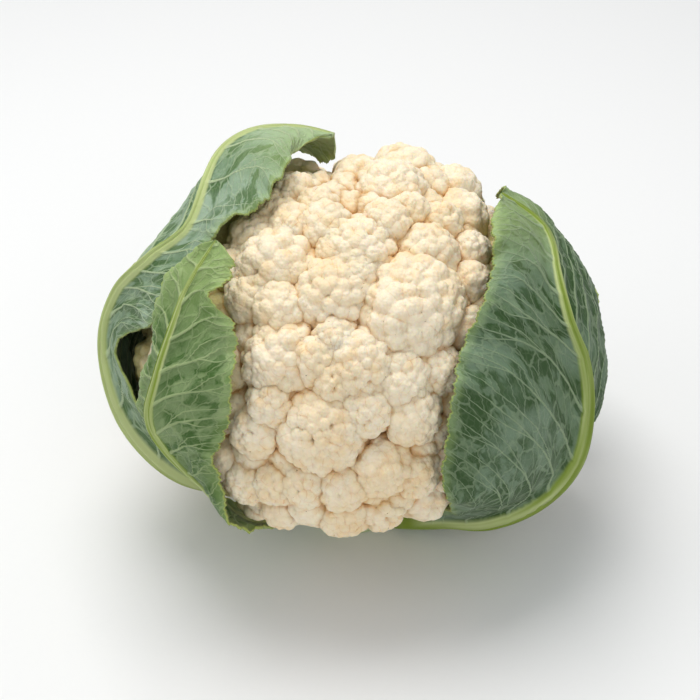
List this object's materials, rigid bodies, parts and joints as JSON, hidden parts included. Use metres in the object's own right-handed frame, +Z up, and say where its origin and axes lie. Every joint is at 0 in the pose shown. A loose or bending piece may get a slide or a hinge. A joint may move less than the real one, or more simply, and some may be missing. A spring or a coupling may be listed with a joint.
{
  "type": "cauliflower",
  "caption": "Whole cauliflower: cream curd of packed florets on a trimmed stem, held in green wrapper leaves with pale ribs.",
  "frame": {"origin": "middle of the stem's flat cut face, on the surface that the head stands on", "axes": "+Z up from the cut face through the head, -Y towards the front that shows between the leaves, +X to the right of that view"},
  "size_m": [0.2152, 0.1984, 0.1691],
  "materials": {
    "curd": "matte",
    "stem": "satin",
    "leaf": "satin",
    "leaf_young": "satin",
    "leaf_dark": "satin"
  },
  "bodies": {
    "root": {"curd": "curd", "stem": "stem", "leaf_left_back": "leaf", "leaf_left_front": "leaf_young", "leaf_right_front": "leaf_dark", "leaf_right_back": "leaf_dark", "leaf_back_right": "leaf", "leaf_back_left": "leaf"}
  },
  "joints": []
}
